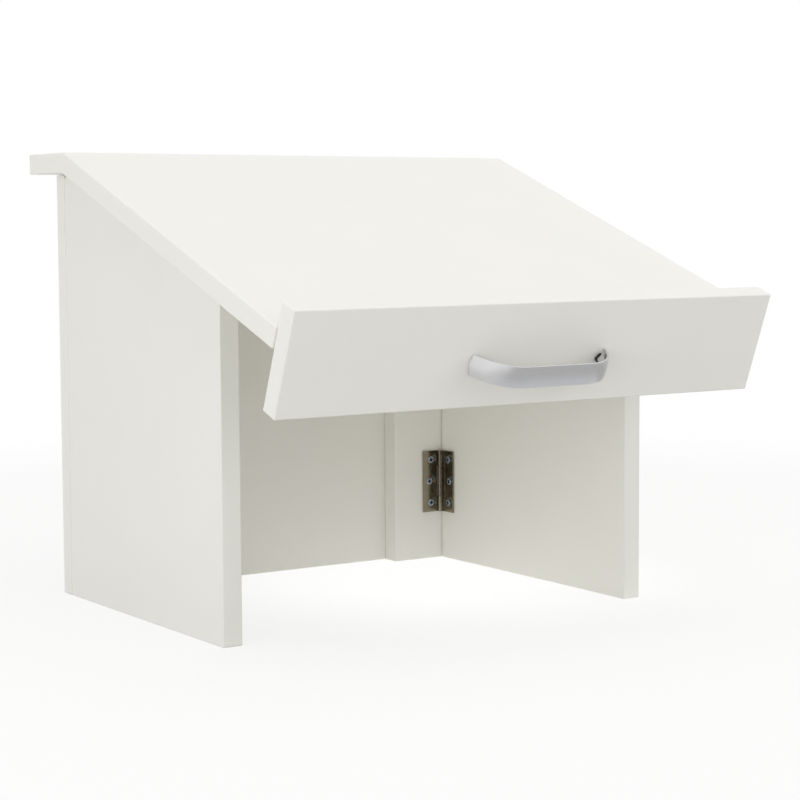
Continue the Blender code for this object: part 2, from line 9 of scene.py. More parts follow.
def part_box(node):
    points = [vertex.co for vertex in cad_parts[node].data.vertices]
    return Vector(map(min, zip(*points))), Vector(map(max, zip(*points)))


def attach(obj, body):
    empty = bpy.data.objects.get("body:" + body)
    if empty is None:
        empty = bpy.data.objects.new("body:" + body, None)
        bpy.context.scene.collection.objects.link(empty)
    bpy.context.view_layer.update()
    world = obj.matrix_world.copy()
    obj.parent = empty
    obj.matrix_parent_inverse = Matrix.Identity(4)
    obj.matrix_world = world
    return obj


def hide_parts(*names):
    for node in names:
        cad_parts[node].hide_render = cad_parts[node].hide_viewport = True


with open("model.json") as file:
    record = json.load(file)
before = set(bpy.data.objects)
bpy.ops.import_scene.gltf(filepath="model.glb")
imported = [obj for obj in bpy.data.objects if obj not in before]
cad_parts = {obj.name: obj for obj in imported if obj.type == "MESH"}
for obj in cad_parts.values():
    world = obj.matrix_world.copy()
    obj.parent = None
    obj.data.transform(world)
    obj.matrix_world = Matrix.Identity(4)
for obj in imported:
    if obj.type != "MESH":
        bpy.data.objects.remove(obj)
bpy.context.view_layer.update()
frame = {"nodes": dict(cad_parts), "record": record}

# Folding tabletop desk: white painted boards, nickel butt hinges, satin aluminium bow handle.
# Metres, front towards -Y. Every size that the frame knows is read from the frame.

scene = bpy.context.scene
mm = 0.001
weld = 0.001 * mm      # points closer than this are one
print("frame loaded:", len(frame["nodes"]), "nodes")


# small helpers

def linear(hexColour):
    # sRGB hex to the linear colour that the nodes want
    channels = [int(hexColour[i:i + 2], 16) / 255 for i in (1, 3, 5)]
    return (*[c / 12.92 if c <= 0.04045 else ((c + 0.055) / 1.055) ** 2.4 for c in channels], 1)


def addNode(tree, kind, inputs=None, **settings):
    # a node with its settings; an input takes a value, or a link from a node or a socket, or a list of them
    node = tree.nodes.new(kind)
    for name, value in settings.items():
        setattr(node, name, value)
    for socket, given in (inputs or {}).items():
        for source in given if isinstance(given, list) else [given]:
            if isinstance(source, bpy.types.Node):
                source = source.outputs[0]
            if isinstance(source, bpy.types.NodeSocket):
                tree.links.new(source, node.inputs[socket])
            else:
                node.inputs[socket].default_value = source
    return node


def newObject(name, mesh):
    made = bpy.data.objects.new(name, mesh)
    scene.collection.objects.link(made)
    return made


def meshFrom(bm, name):
    mesh = bpy.data.meshes.new(name)
    bm.to_mesh(mesh)
    bm.free()
    return mesh


def plainMesh(holder):
    # what the holder's modifiers give, as a plain mesh; the holder goes
    bpy.context.view_layer.update()
    graph = bpy.context.evaluated_depsgraph_get()
    mesh = bpy.data.meshes.new_from_object(
        holder.evaluated_get(graph), preserve_all_data_layers=True, depsgraph=graph)
    bpy.data.objects.remove(holder)
    return mesh


def booleans(mesh, steps):
    # joins or cuts closed bodies, one after the other
    holder = newObject("holder", mesh)
    tools = []
    for operation, bm in steps:
        tool = newObject("tool", meshFrom(bm, "tool"))
        tools.append(tool)
        modifier = holder.modifiers.new(operation.lower(), "BOOLEAN")
        modifier.operation = operation
        modifier.solver = "EXACT"
        modifier.object = tool
    result = plainMesh(holder)
    for tool in tools:
        bpy.data.objects.remove(tool)
    return result


def addPiece(name, mesh, material, body, nodes):
    mesh.name = name
    mesh.materials.clear()
    mesh.materials.append(material)
    piece = newObject(name, mesh)
    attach(piece, body)
    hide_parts(*nodes)
    return piece


# places that several pieces share, from the frame

mounts = {mount["name"]: mount for mount in frame["record"]["mounts"]}
surfaceNormal = Vector(mounts["writing_surface"]["axis"])
surfacePoint = Vector(mounts["writing_surface"]["pos_m"])
slope = atan2(-surfaceNormal.y, surfaceNormal.z)
stripLow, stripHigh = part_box("top_rear_strip")
ridgeY = surfacePoint.y + (stripHigh.z - surfacePoint.z) / tan(slope)
# x along the ridge, y up the slope, z out of the writing surface
slopeFrame = Matrix.Translation((0, ridgeY, stripHigh.z)) @ Matrix.Rotation(slope, 4, "X")


def slopeBox(node):
    # a node's lowest and highest corners in the slope's own frame
    intoSlope = slopeFrame.inverted()
    points = [intoSlope @ vert.co for vert in frame["nodes"][node].data.vertices]
    axes = list(zip(*points))
    return Vector([min(axis) for axis in axes]), Vector([max(axis) for axis in axes])


# materials

def newMaterial(name):
    material = bpy.data.materials.new(name)
    material.use_nodes = True
    material.node_tree.nodes.clear()
    return material, material.node_tree


def twoTone(tree, place, size, settings, noise, share):
    # patches of two colours: the noise, the mask between its two given shares, and the colour
    patches = addNode(tree, "ShaderNodeTexNoise", {"Vector": place, "Scale": 1 / size, **noise})
    mask = addNode(tree, "ShaderNodeMapRange", {"Value": patches, "From Min": share[0], "From Max": share[1]})
    tone = addNode(tree, "ShaderNodeMix", {
        0: mask, 6: linear(settings["shade"]), 7: linear(settings["colour"])}, data_type="RGBA")
    return patches, mask, tone.outputs[2]


def finishSurface(tree, settings, colour, height, rise, gloss=None):
    # relief, shader and output; with a gloss mask the roughness runs between two values
    roughness = settings["roughness"]
    if gloss is not None:
        smooth, rough = roughness
        roughness = addNode(tree, "ShaderNodeMapRange", {"Value": gloss, "To Min": smooth, "To Max": rough})
    bump = addNode(tree, "ShaderNodeBump", {"Height": height, "Strength": 1, "Distance": rise})
    shader = addNode(tree, "ShaderNodeBsdfPrincipled", {
        "Base Color": colour, "Roughness": roughness, "Normal": bump, **settings["sockets"]})
    addNode(tree, "ShaderNodeOutputMaterial", {"Surface": shader})


paint = dict(
    colour="#F2F1EC", shade="#F1F0EA",   # top coat, and where it went on thicker
    roughness=(0.36, 0.48), sockets={"IOR": 1.46},
    patch=70 * mm, patchShare=(0.3, 0.65),       # faint tone patches
    stipple=1.1 * mm, stippleHeight=0.012 * mm,  # roller stipple, bump only
)


def makePaint():
    # White satin lacquer rolled on fibreboard: an even, slightly warm white with a soft sheen and a
    # fine orange-peel that only shows where light grazes it.
    material, tree = newMaterial("satin lacquer on fibreboard")
    place = addNode(tree, "ShaderNodeTexCoord").outputs["Object"]
    tone = twoTone(tree, place, paint["patch"], paint, {"Detail": 3}, paint["patchShare"])[2]
    stipple = addNode(tree, "ShaderNodeTexNoise", {
        "Vector": place, "Scale": 1 / paint["stipple"], "Detail": 2, "Roughness": 0.55})
    finishSurface(tree, paint, tone, stipple, paint["stippleHeight"], stipple)
    return material


nickel = dict(
    colour="#A09887", shade="#958D7C", roughness=(0.12, 0.19), sockets={"Metallic": 1},
    cloud=6 * mm, cloudShare=(0.35, 0.62),                       # uneven patches from the bath
    line=0.35 * mm, lineStretch=14, lineHeight=0.002 * mm,       # rolling lines, upright
)


def makeNickel():
    # Nickel plated sheet steel: a warm grey mirror, a little cloudy where the bath was uneven, with fine
    # rolling lines that run up the leaf.
    material, tree = newMaterial("nickel plated steel")
    place = addNode(tree, "ShaderNodeTexCoord").outputs["Object"]
    clouds, tone = twoTone(tree, place, nickel["cloud"], nickel, {"Detail": 4}, nickel["cloudShare"])[1:]
    rolled = addNode(tree, "ShaderNodeMapping", {"Vector": place, "Scale": (1, 1, 1 / nickel["lineStretch"])})
    lines = addNode(tree, "ShaderNodeTexNoise", {"Vector": rolled, "Scale": 1 / nickel["line"], "Detail": 2})
    finishSurface(tree, nickel, tone, lines, nickel["lineHeight"], clouds)
    return material


zinc = dict(
    colour="#D3DEE8", shade="#B4C3D1", recess="#264878",       # recess: painted shade, the driver's cross coloured dark blue where shade falls in it
    roughness=(0.34, 0.48), sockets={"Metallic": 1},
    cloud=1.6 * mm, cloudShare=(0.35, 0.62), pit=0.3 * mm, pitHeight=0.006 * mm,
)


def makeZinc():
    # Blue passivated zinc on steel screws: a pale bluish, slightly milky metal with fine pits; the driver's
    # cross is painted dark blue as shade.
    material, tree = newMaterial("blue zinc plated steel")
    place = addNode(tree, "ShaderNodeTexCoord").outputs["Object"]
    clouds, tone = twoTone(tree, place, zinc["cloud"], zinc, {"Detail": 4}, zinc["cloudShare"])[1:]
    # painted shade: the faces marked as recess take the dark blue colour
    recess = addNode(tree, "ShaderNodeAttribute", attribute_name="recess").outputs["Fac"]
    paintedRecessShade = addNode(tree, "ShaderNodeMix", {0: recess, 6: tone, 7: linear(zinc["recess"])}, data_type="RGBA")
    pits = addNode(tree, "ShaderNodeTexNoise", {"Vector": place, "Scale": 1 / zinc["pit"], "Detail": 2})
    finishSurface(tree, zinc, paintedRecessShade.outputs[2], pits, zinc["pitHeight"], clouds)
    return material


aluminium = dict(
    colour="#E1E1E2", shade="#D9D9DA", roughness=(0.27, 0.35), sockets={"Metallic": 1},
    line=0.25 * mm, lineShare=(0.3, 0.7), lineStretch=60, lineHeight=0.003 * mm,       # along the band
)


def makeAluminium():
    # Satin anodised aluminium: a neutral soft metal; the grinding lines run along the band and pull the
    # highlight out across it.
    material, tree = newMaterial("satin anodised aluminium")
    band = addNode(tree, "ShaderNodeUVMap", uv_map="band")
    drawn = addNode(tree, "ShaderNodeMapping", {
        "Vector": band, "Scale": (1 / aluminium["lineStretch"], 1, 1)})
    ground, lines, tone = twoTone(tree, drawn, aluminium["line"], aluminium,
                                  {"Detail": 3, "Roughness": 0.6}, aluminium["lineShare"])
    finishSurface(tree, aluminium, tone, ground, aluminium["lineHeight"], lines)
    return material


beech = dict(
    colour="#D9B68C", shade="#B98D60", fleck="#8E6640", roughness=0.55, sockets={},
    ring=1.6 * mm, ringShare=(0.3, 0.7), stretch=12,
    pore=0.35 * mm, poreShare=(0.62, 0.72), poreTone=0.7, poreDepth=0.05 * mm,
)


def makeBeech():
    # Turned beech: pale pinkish brown, faint rings along the dowel and short dark flecks.
    material, tree = newMaterial("turned beech")
    grain = addNode(tree, "ShaderNodeAttribute", attribute_name="grain").outputs["Vector"]
    drawn = addNode(tree, "ShaderNodeMapping", {"Vector": grain, "Scale": (1, 1, 1 / beech["stretch"])})
    tone = twoTone(tree, drawn, beech["ring"], beech, {"Detail": 4}, beech["ringShare"])[2]
    pores = addNode(tree, "ShaderNodeTexNoise", {"Vector": drawn, "Scale": 1 / beech["pore"], "Detail": 1})
    few, many = beech["poreShare"]
    flecks = addNode(tree, "ShaderNodeMapRange", {
        "Value": pores, "From Min": few, "From Max": many, "To Max": beech["poreTone"]})
    wood = addNode(tree, "ShaderNodeMix", {0: flecks, 6: tone, 7: linear(beech["fleck"])}, data_type="RGBA")
    finishSurface(tree, beech, wood.outputs[2], pores, beech["poreDepth"])
    return material


plastic = dict(
    colour="#232324", shade="#141415", roughness=0.45, sockets={},       # worn points, and the rest
    grit=0.4 * mm, gritShare=(0, 1), gritHeight=0.02 * mm,
)


def makePlastic():
    # Moulded black ABS: near black with the fine spark-eroded grit of the mould.
    material, tree = newMaterial("moulded black ABS")
    place = addNode(tree, "ShaderNodeTexCoord").outputs["Object"]
    grit, _, tone = twoTone(tree, place, plastic["grit"], plastic, {"Detail": 2}, plastic["gritShare"])
    finishSurface(tree, plastic, tone, grit, plastic["gritHeight"])
    return material


paintMaterial = makePaint()
nickelMaterial = makeNickel()
zincMaterial = makeZinc()
aluminiumMaterial = makeAluminium()
beechMaterial = makeBeech()
plasticMaterial = makePlastic()
print("materials made")


# painted boards

boards = dict(ease=1.2 * mm, segments=5, crease=radians(12))


def prism(rings):
    # a closed body between two outlines
    bm = bmesh.new()
    low, high = [[bm.verts.new(point) for point in ring] for ring in rings]
    for i in range(len(low)):
        j = (i + 1) % len(low)
        bm.faces.new((low[i], low[j], high[j], high[i]))
    bm.faces.new(low)
    bm.faces.new(high)
    bmesh.ops.recalc_face_normals(bm, faces=bm.faces)
    bm.normal_update()
    return bm


def easeEdges(bm, crease, ease, segments):
    # rounds every edge that is sharper than the crease, with smooth strips
    edges = [edge for edge in bm.edges if edge.calc_face_angle(0) > crease]
    made = bmesh.ops.bevel(bm, geom=edges, offset=ease, segments=segments, profile=0.5,
                           affect="EDGES", clamp_overlap=True)
    for face in made["faces"]:
        face.smooth = True


def addCone(bm, place, sides, lowRadius, highRadius, low, high):
    # a closed cutter along the place's z, smooth round its side
    bmesh.ops.create_cone(bm, cap_ends=True, segments=sides, radius1=lowRadius, radius2=highRadius,
                          depth=high - low, matrix=place @ Matrix.Translation((0, 0, (low + high) / 2)))
    for face in bm.faces:
        face.smooth = len(face.verts) == 4


def easedBoard(profile, xLow, xHigh, place=Matrix()):
    # a board with its profile in y and z and its width along x; its big faces stay truly flat
    bm = prism([[(x, y, z) for y, z in profile] for x in (xLow, xHigh)])
    easeEdges(bm, boards["crease"], boards["ease"], boards["segments"])
    bmesh.ops.transform(bm, matrix=place, verts=bm.verts)
    return meshFrom(bm, "board")


def rectangle(low, high):
    return [(low.y, low.z), (high.y, low.z), (high.y, high.z), (low.y, high.z)]


def sidePanel(side):
    # the top edge runs level at the rear and then down along the slope, with room to swing
    low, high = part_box(f"{side}_side_panel")
    points = [vert.co for vert in frame["nodes"][f"{side}_side_panel"].data.vertices]
    front = [point for point in points if point.y < low.y + 2 * boards["ease"]]
    crest = max(front, key=lambda point: point.z)
    bendY = ridgeY + (stripHigh.z - stripLow.z) * tan(slope / 2)
    fall = (high.z - crest.z) / (bendY - crest.y)
    frontZ = high.z - fall * (bendY - low.y)
    profile = [(high.y, low.z), (high.y, high.z), (bendY, high.z), (low.y, frontZ), (low.y, low.z)]
    return addPiece(f"{side}SidePanel", easedBoard(profile, low.x, high.x), paintMaterial,
                    f"{side}_side", [f"{side}_side_panel"])


for side in ("left", "right"):
    sidePanel(side)

for name, node in (("backPanel", "back_panel"), ("hingeBatten", "hinge_batten")):
    low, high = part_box(node)
    board = easedBoard(rectangle(low, high), low.x, high.x)
    addPiece(name, board, paintMaterial, "base", [node])


deskTop = dict(boreRadius=4.2 * mm, boreDepth=10.5 * mm, boreSides=40, boreFlare=0.5 * mm)


def makeDeskTop():
    # rear strip and sloped board are glued, filled and painted as one, so there is no seam at the bend
    frontY = slopeBox("top_sloped_board")[0].y
    thickness = stripHigh.z - stripLow.z
    bendY = ridgeY + thickness * tan(slope / 2)
    front = [slopeFrame @ Vector((0, frontY, z)) for z in (0, -thickness)]
    profile = [(stripHigh.y, stripLow.z), (stripHigh.y, stripHigh.z), (ridgeY, stripHigh.z),
               (front[0].y, front[0].z), (front[1].y, front[1].z), (bendY, stripLow.z)]
    mesh = easedBoard(profile, stripLow.x, stripHigh.x)
    bores = bmesh.new()       # for the locating dowels, open downwards
    radius, flare, sides = deskTop["boreRadius"], deskTop["boreFlare"], deskTop["boreSides"]
    for number in (1, 2):
        dowelLow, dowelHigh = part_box(f"locating_dowel_{number}")
        middle = (dowelLow + dowelHigh) / 2
        mouth = Matrix.Translation((middle.x, middle.y, stripLow.z))
        addCone(bores, mouth, sides, radius + 2 * flare, radius, -flare, flare)
        addCone(bores, mouth, sides, radius, radius, -flare / 2, deskTop["boreDepth"])
    mesh = booleans(mesh, [("DIFFERENCE", bores)])
    return addPiece("deskTop", mesh, paintMaterial, "top",
                    ["top_rear_strip", "top_sloped_board"])


makeDeskTop()
low, high = slopeBox("front_ledge")
addPiece("frontLedge", easedBoard(rectangle(low, high), low.x, high.x, slopeFrame), paintMaterial,
         "top", ["front_ledge"])
print("painted boards made")


# butt hinges

hinge = dict(
    leafWidth=20 * mm, plateFront=1.2 * mm, plateBack=2.7 * mm,       # from the pin's axis, wood at +y
    knuckleRadius=2.8 * mm, boreRadius=1.5 * mm, knuckleGap=0.4 * mm, middleKnuckle=30 * mm,
    curlEnd=radians(374), curlSteps=30, flat=radians(0.5),
    sharp=radians(40), ease=0.18 * mm, easeSegments=2, crease=radians(20),
    screwInset=10.5 * mm, screwStagger=2 * mm, screwPitch=21.8 * mm, screwProud=-0.1 * mm,
    rimRadius=4.05 * mm, rimDepth=0.85 * mm, seatRadius=3.62 * mm,
    sinkSides=40, sinkOver=0.5 * mm, sinkUnder=0.1 * mm,
    pinRadius=1.4 * mm, pinDome=0.35 * mm, pinSides=28, pinSteps=5,
)
# how a leaf turns from its own frame: plate along +x, wood at +y, pin upright
leafTurns = {
    "left_fixed": Matrix(),
    "left_moving": Matrix.Rotation(-pi / 2, 4, "Z") @ Matrix.Rotation(pi, 4, "X"),
    "right_fixed": Matrix.Rotation(pi, 4, "Y"),
    "right_moving": Matrix.Rotation(-pi / 2, 4, "Z"),
}
hingeStems = [f"{side}_{level}_hinge" for side in ("left", "right") for level in ("lower", "upper")]


def hingeMiddle(stem):
    low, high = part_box(f"{stem}_pin")
    return Matrix.Translation((low + high) / 2)


def leafBody(stem, kind):
    return "base" if kind == "fixed" else stem.split("_")[0] + "_side"


def screwSeats(place):
    # z out of the wood, the origin on the screw head's top face
    seats = []
    for step in (-1, 0, 1):
        inset = hinge["screwInset"] + (hinge["screwStagger"] if step == 0 else 0)
        depth = hinge["plateFront"] - hinge["screwProud"]
        seat = Matrix.Translation((inset, depth, step * hinge["screwPitch"]))
        seats.append(place @ seat @ Matrix.Rotation(pi / 2, 4, "X"))
    return seats


def leafMesh(moving, height):
    # sheet steel rolled round the pin: the curl comes back to the plate and leaves a fine seam
    radius, bore = hinge["knuckleRadius"], hinge["boreRadius"]
    front, back, width = hinge["plateFront"], hinge["plateBack"], hinge["leafWidth"]
    notch = radius + hinge["knuckleGap"]
    half, inner = height / 2, hinge["middleKnuckle"] / 2
    if moving:
        inner -= hinge["knuckleGap"]
    levels = [-half, -inner, inner, half]
    knuckled = [moving == (i == 1) for i in range(3)]
    outerStart, innerStart = asin(back / radius), asin(front / bore)
    steps = hinge["curlSteps"]
    outer = [outerStart + (hinge["curlEnd"] - outerStart) * i / steps for i in range(steps + 1)]
    inside = [hinge["curlEnd"] + (innerStart - hinge["curlEnd"]) * i / steps for i in range(steps + 1)]
    curl = [(notch, back)] + [(radius * cos(a), radius * sin(a)) for a in outer]
    curl += [(bore * cos(a), bore * sin(a)) for a in inside] + [(notch, front)]
    plate = [(notch, front), (width, front), (width, back), (notch, back)]
    bm = bmesh.new()

    def wall(path, low, high):
        for (x1, y1), (x2, y2) in zip(path, path[1:]):
            corners = ((x1, y1, low), (x2, y2, low), (x2, y2, high), (x1, y1, high))
            bm.faces.new([bm.verts.new(corner) for corner in corners])

    def cap(path, z):
        bm.faces.new([bm.verts.new((x, y, z)) for x, y in path])

    for i in range(3):
        low, high = levels[i], levels[i + 1]
        wall(plate, low, high)
        if knuckled[i]:
            wall(curl, low, high)
            cap(curl, low)
            cap(curl, high)
        else:
            wall([plate[3], plate[0]], low, high)
    cap(plate, -half)
    cap(plate, half)
    bmesh.ops.remove_doubles(bm, verts=bm.verts, dist=weld)
    bmesh.ops.dissolve_limit(bm, angle_limit=hinge["flat"], verts=bm.verts, edges=bm.edges)
    bmesh.ops.recalc_face_normals(bm, faces=bm.faces)
    bm.normal_update()
    for face in bm.faces:
        face.smooth = abs(face.normal.z) < 0.5 and face.calc_center_median().x < notch
    easeEdges(bm, hinge["sharp"], hinge["ease"], hinge["easeSegments"])
    # each screw sits on a cone at the foot of a straight bore, so a dark gap runs round its head
    bores, sinks = bmesh.new(), bmesh.new()
    sides, over, rim, cone = hinge["sinkSides"], hinge["sinkOver"], hinge["rimRadius"], hinge["seatRadius"]
    step = -hinge["rimDepth"] - hinge["screwProud"]
    floorLevel = front - back - hinge["screwProud"] - hinge["sinkUnder"]
    for seat in screwSeats(Matrix()):
        addCone(bores, seat, sides, rim, rim, step, over)
        addCone(sinks, seat, sides, cone + floorLevel, cone + over, floorLevel, over)
    mesh = booleans(meshFrom(bm, "leaf"), [("DIFFERENCE", bores), ("DIFFERENCE", sinks)])
    mesh.set_sharp_from_angle(angle=hinge["crease"])       # so eased ends don't bend the knuckle's shading
    return mesh


def pinMesh(height):
    # a plain rod with both ends hammered to a low dome
    radius, dome, sides = hinge["pinRadius"], hinge["pinDome"], hinge["pinSides"]
    bm = bmesh.new()
    turns = [pi / 2 * i / hinge["pinSteps"] for i in range(hinge["pinSteps"])]
    rise = [(radius * cos(turn), height / 2 - dome + dome * sin(turn)) for turn in turns]
    profile = [(r, -z) for r, z in rise[::-1]] + rise
    circle = [(cos(2 * pi * k / sides), sin(2 * pi * k / sides)) for k in range(sides)]
    rings = [[bm.verts.new((r * x, r * y, z)) for x, y in circle] for r, z in profile]
    for lower, upper in zip(rings, rings[1:]):
        for k in range(sides):
            n = (k + 1) % sides
            bm.faces.new((lower[k], lower[n], upper[n], upper[k]))
    for ring, z in ((rings[0][::-1], -height / 2), (rings[-1], height / 2)):
        tip = bm.verts.new((0, 0, z))
        for k in range(sides):
            bm.faces.new((ring[k], ring[(k + 1) % sides], tip))
    for face in bm.faces:
        face.smooth = True
    return meshFrom(bm, "pin")


for stem in hingeStems:
    side, level = stem.split("_")[:2]
    middle = hingeMiddle(stem)
    pinLow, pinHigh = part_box(f"{stem}_pin")
    height = pinHigh.z - pinLow.z
    for kind in ("fixed", "moving"):
        mesh = leafMesh(kind == "moving", height)
        mesh.transform(middle @ leafTurns[f"{side}_{kind}"])
        addPiece(f"{side}{level.title()}Hinge{kind.title()}Leaf", mesh, nickelMaterial,
                 leafBody(stem, kind), [f"{stem}_{kind}_leaf"])
    mesh = pinMesh(height)
    mesh.transform(middle)
    addPiece(f"{side}{level.title()}HingePin", mesh, nickelMaterial, "base", [f"{stem}_pin"])
print("hinges made")


# screws and dowels, by Geometry Nodes on a point for each

def newTree(name, sizes):
    # an empty tree with named inputs for the sizes
    tree = bpy.data.node_groups.new(name, "GeometryNodeTree")
    tree.interface.new_socket("Geometry", in_out="INPUT", socket_type="NodeSocketGeometry")
    for size, value in sizes.items():
        kind = "NodeSocketInt" if isinstance(value, int) else "NodeSocketFloat"
        tree.interface.new_socket(size, in_out="INPUT", socket_type=kind)
    tree.interface.new_socket("material", in_out="INPUT", socket_type="NodeSocketMaterial")
    tree.interface.new_socket("Geometry", in_out="OUTPUT", socket_type="NodeSocketGeometry")
    return tree


def grown(name, tree, places, sizes, material, sharp):
    # runs the tree on a vertex for each place, with the place's turn as an attribute; gives one plain mesh
    mesh = bpy.data.meshes.new(name)
    mesh.from_pydata([place.translation for place in places], [], [])
    turns = mesh.attributes.new("turn", "FLOAT_VECTOR", "POINT")
    for row, place in zip(turns.data, places):
        row.vector = place.to_euler("XYZ")
    holder = newObject(name, mesh)
    modifier = holder.modifiers.new(name, "NODES")
    modifier.node_group = tree
    for socket in tree.interface.items_tree:
        if socket.in_out == "INPUT" and socket.name in sizes:
            modifier[socket.identifier] = sizes[socket.name]
        elif socket.in_out == "INPUT" and socket.name == "material":
            modifier[socket.identifier] = material
    mesh = plainMesh(holder)
    mesh.shade_smooth()
    mesh.set_sharp_from_angle(angle=sharp)
    return mesh


def plantOnPoints(tree, given, instance, spin=None):
    # one at each point, turned as the point says and then by its own spin; real, and with its material
    turn = addNode(tree, "GeometryNodeInputNamedAttribute", {"Name": "turn"}, data_type="FLOAT_VECTOR")
    seat = addNode(tree, "FunctionNodeEulerToRotation", {"Euler": turn})
    if spin is not None:
        seat = addNode(tree, "FunctionNodeRotateRotation", {
            "Rotation": seat, "Rotate By": spin}, rotation_space="LOCAL")
    placed = addNode(tree, "GeometryNodeInstanceOnPoints", {
        "Points": given["Geometry"], "Instance": instance, "Rotation": seat})
    real = addNode(tree, "GeometryNodeRealizeInstances", {"Geometry": placed})
    coated = addNode(tree, "GeometryNodeSetMaterial", {"Geometry": real, "Material": given["material"]})
    addNode(tree, "NodeGroupOutput", {"Geometry": coated})


hingeScrew = dict(
    headRadius=3.35 * mm, crownHeight=0.3 * mm, crownInset=0.5 * mm, coneDepth=1.5 * mm,
    shankRadius=1.6 * mm, shankLength=10.9 * mm, tipLength=2.5 * mm,
    threadPitch=1.3 * mm, threadDepth=0.42 * mm,
    recessSpan=4.6 * mm, recessWidth=1.5 * mm, recessDepth=1.2 * mm, recessTaper=0.22,
    sides=40, crownSteps=6, threadSides=18, threadRows=56, tipShare=0.08, seed=3,
)
handleScrew = dict(
    headRadius=4 * mm, crownHeight=1.3 * mm, crownInset=1.3 * mm, coneDepth=1.3 * mm,
    shankRadius=2 * mm, shankLength=23.3 * mm, tipLength=0.6 * mm,
    threadPitch=0.7 * mm, threadDepth=0.35 * mm,
    recessSpan=4.4 * mm, recessWidth=1.0 * mm, recessDepth=1.5 * mm, recessTaper=0.22,
    sides=40, crownSteps=6, threadSides=18, threadRows=140, tipShare=0.08, seed=5,
)
screwCrease = radians(38)


